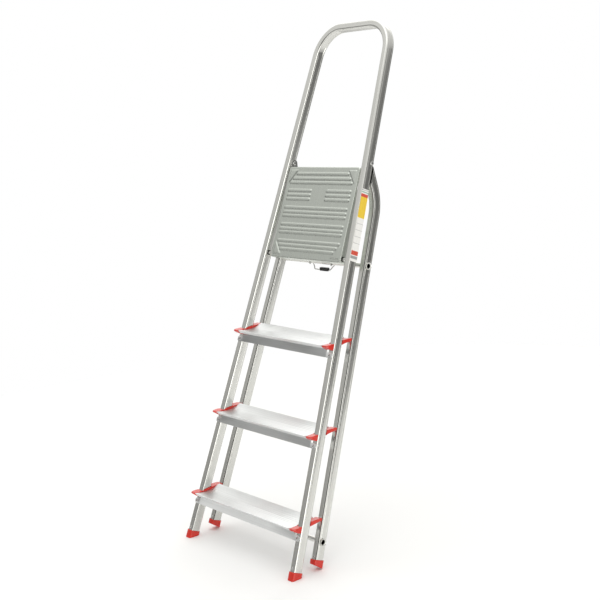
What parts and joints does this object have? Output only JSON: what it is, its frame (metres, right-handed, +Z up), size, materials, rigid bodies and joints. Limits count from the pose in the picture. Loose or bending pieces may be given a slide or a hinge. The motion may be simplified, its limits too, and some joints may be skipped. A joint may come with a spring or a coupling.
{
  "type": "step ladder",
  "caption": "Folding aluminium step ladder with level treads, a fold-up platform, a high handrail hoop, hinged rear legs, and plastic feet and tread end caps.",
  "frame": {"origin": "middle of the floor rectangle that the folded ladder covers", "axes": "+Z up with the treads level, +X to the right as a climber faces the treads, +Y from the front of the ladder to its back"},
  "size_m": [0.493, 0.598, 1.4115],
  "materials": {
    "aluminium_profile": "extruded, mill finish with fine lengthwise lines",
    "tread_aluminium": "extruded, satin, fine lengthwise ribs",
    "platform_aluminium": "pressed sheet, satin, raised ribs",
    "steel_fittings": "zinc plated",
    "red_plastic": "moulded, semi-gloss",
    "black_plastic": "moulded, matt",
    "label_film": "printed film without lettering"
  },
  "bodies": {
    "front_frame": {"front_hoop": "aluminium_profile", "tread_1": "tread_aluminium", "tread_2": "tread_aluminium", "tread_3": "tread_aluminium", "tread_cap_1_right": "red_plastic", "tread_cap_1_left": "red_plastic", "tread_cap_2_right": "red_plastic", "tread_cap_2_left": "red_plastic", "tread_cap_3_right": "red_plastic", "tread_cap_3_left": "red_plastic", "tread_rivet_1_right": "steel_fittings", "tread_rivet_1_left": "steel_fittings", "tread_rivet_2_right": "steel_fittings", "tread_rivet_2_left": "steel_fittings", "tread_rivet_3_right": "steel_fittings", "tread_rivet_3_left": "steel_fittings", "front_foot_right": "red_plastic", "front_foot_left": "red_plastic", "front_foot_rivet_right": "steel_fittings", "front_foot_rivet_left": "steel_fittings", "platform_bolt_right": "steel_fittings", "platform_bolt_left": "steel_fittings", "platform_washer_inner_right": "black_plastic", "platform_washer_inner_left": "black_plastic", "platform_spacer_right": "aluminium_profile", "platform_spacer_left": "aluminium_profile", "platform_washer_outer_right": "black_plastic", "platform_washer_outer_left": "black_plastic", "hinge_pin_right": "steel_fittings", "hinge_pin_left": "steel_fittings", "side_label": "label_film"},
    "rear_frame": {"rear_leg_right": "aluminium_profile", "rear_leg_left": "aluminium_profile", "lower_cross_tube": "aluminium_profile", "upper_cross_tube": "aluminium_profile", "rear_foot_right": "red_plastic", "rear_foot_left": "red_plastic", "rear_foot_rivet_right": "steel_fittings", "rear_foot_rivet_left": "steel_fittings", "hinge_bracket_right": "steel_fittings", "hinge_bracket_left": "steel_fittings", "bracket_rivet_1_right": "steel_fittings", "bracket_rivet_1_left": "steel_fittings", "bracket_rivet_2_right": "steel_fittings", "bracket_rivet_2_left": "steel_fittings"},
    "platform": {"platform_deck": "platform_aluminium"},
    "catch": {"catch_bail": "steel_fittings", "catch_block": "black_plastic"}
  },
  "joints": [
    {"name": "rear_frame_swing", "type": "hinge", "parent": "front_frame", "child": "rear_frame", "pos_m": [0, 0.14065, 1.02816], "axis": [1, 0, 0], "range_deg": [0, 35.85]},
    {"name": "platform_fold", "type": "hinge", "parent": "front_frame", "child": "platform", "pos_m": [0, 0.03469, 0.78193], "axis": [-1, 0, 0], "range_deg": [0, 68]},
    {"name": "catch_swing", "type": "hinge", "parent": "rear_frame", "child": "catch", "pos_m": [0, 0.0863, 0.7586], "axis": [1, 0, 0], "range_deg": [-50, 60]}
  ],
  "couplings": [
    {"joint": "platform_fold", "follows": "rear_frame_swing", "ratio": 1.8967}
  ]
}
